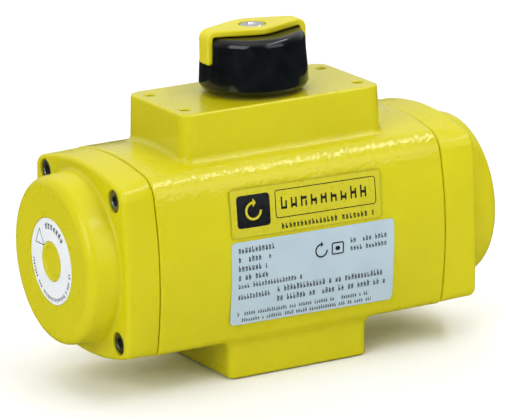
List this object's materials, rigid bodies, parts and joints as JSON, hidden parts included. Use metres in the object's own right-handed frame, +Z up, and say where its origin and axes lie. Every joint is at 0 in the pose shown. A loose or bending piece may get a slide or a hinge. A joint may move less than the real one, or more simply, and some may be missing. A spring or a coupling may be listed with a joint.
{
  "type": "rotary pneumatic actuator",
  "caption": "Spring-return rack-and-pinion actuator: two opposed pistons turn an upright shaft a quarter turn to open and close a valve, with a dial on top.",
  "frame": {"origin": "on the shaft's axis, in the plane of the mounting flange's lower face", "axes": "+Z up along the shaft, +X along the piston bore, -Y out of the side with the labels"},
  "size_m": [0.19, 0.0892, 0.1372],
  "materials": {
    "yellow_paint": "glossy powder coat with a fine orange peel",
    "pointer_plastic": "smooth moulded yellow plastic",
    "black_plastic": "glossy black moulding",
    "steel": "turned and ground",
    "dark_steel": "dark zinc plated",
    "spring_steel": "oiled spring wire",
    "aluminium": "die cast and machined",
    "rubber": "black nitrile",
    "bearing_plastic": "low-friction bearing plastic",
    "plate_film": "pale blue-grey label film",
    "clear_film": "clear film over the paint",
    "white_film": "white label film"
  },
  "bodies": {
    "housing": {"housing": "yellow_paint", "end_cap_left": "yellow_paint", "end_cap_right": "yellow_paint", "cap_o_ring_left": "rubber", "cap_o_ring_right": "rubber", "cap_screw_left_1": "dark_steel", "cap_screw_left_2": "dark_steel", "cap_screw_left_3": "dark_steel", "cap_screw_left_4": "dark_steel", "cap_screw_right_1": "dark_steel", "cap_screw_right_2": "dark_steel", "cap_screw_right_3": "dark_steel", "cap_screw_right_4": "dark_steel", "label_ring_left": "white_film", "label_ring_right": "white_film", "rating_plate": "plate_film", "name_sticker": "clear_film", "lower_bush": "bearing_plastic", "upper_bush": "bearing_plastic", "stop_nut_left": "steel", "stop_nut_right": "steel", "stop_seal_left": "rubber", "stop_seal_right": "rubber", "return_spring_left": "spring_steel", "return_spring_right": "spring_steel"},
    "shaft": {"pinion_shaft": "steel", "stop_cam": "steel", "thrust_washer": "bearing_plastic", "snap_ring": "dark_steel", "lower_shaft_o_ring": "rubber", "upper_shaft_o_ring": "rubber", "indicator_cap": "black_plastic", "indicator_strap": "pointer_plastic", "indicator_screw": "steel"},
    "left_piston": {"piston_left": "aluminium", "piston_o_ring_left": "rubber", "guide_band_left": "bearing_plastic", "rack_pad_left": "bearing_plastic"},
    "right_piston": {"piston_right": "aluminium", "piston_o_ring_right": "rubber", "guide_band_right": "bearing_plastic", "rack_pad_right": "bearing_plastic"},
    "left_stop": {"stop_bolt_left": "steel"},
    "right_stop": {"stop_bolt_right": "steel"}
  },
  "joints": [
    {"name": "shaft_turn", "type": "hinge", "parent": "housing", "child": "shaft", "pos_m": [0, 0, 0.0525], "axis": [0, 0, 1], "range_deg": [0, 90], "stiffness_Nm_per_rad": 5.1, "springref_deg": -134.65},
    {"name": "left_piston_stroke", "type": "slide", "parent": "housing", "child": "left_piston", "axis": [-1, 0, 0], "range_m": [0, 0.0189], "deforming": ["return_spring_left"]},
    {"name": "right_piston_stroke", "type": "slide", "parent": "housing", "child": "right_piston", "axis": [1, 0, 0], "range_m": [0, 0.0189], "deforming": ["return_spring_right"]},
    {"name": "left_stop_adjust", "type": "slide", "parent": "housing", "child": "left_stop", "axis": [0, 1, 0], "range_m": [0, 0.002]},
    {"name": "right_stop_adjust", "type": "slide", "parent": "housing", "child": "right_stop", "axis": [0, 1, 0], "range_m": [0, 0.002]}
  ],
  "couplings": [
    {"joint": "left_piston_stroke", "follows": "shaft_turn", "m_per_rad": 0.012},
    {"joint": "right_piston_stroke", "follows": "shaft_turn", "m_per_rad": 0.012}
  ]
}
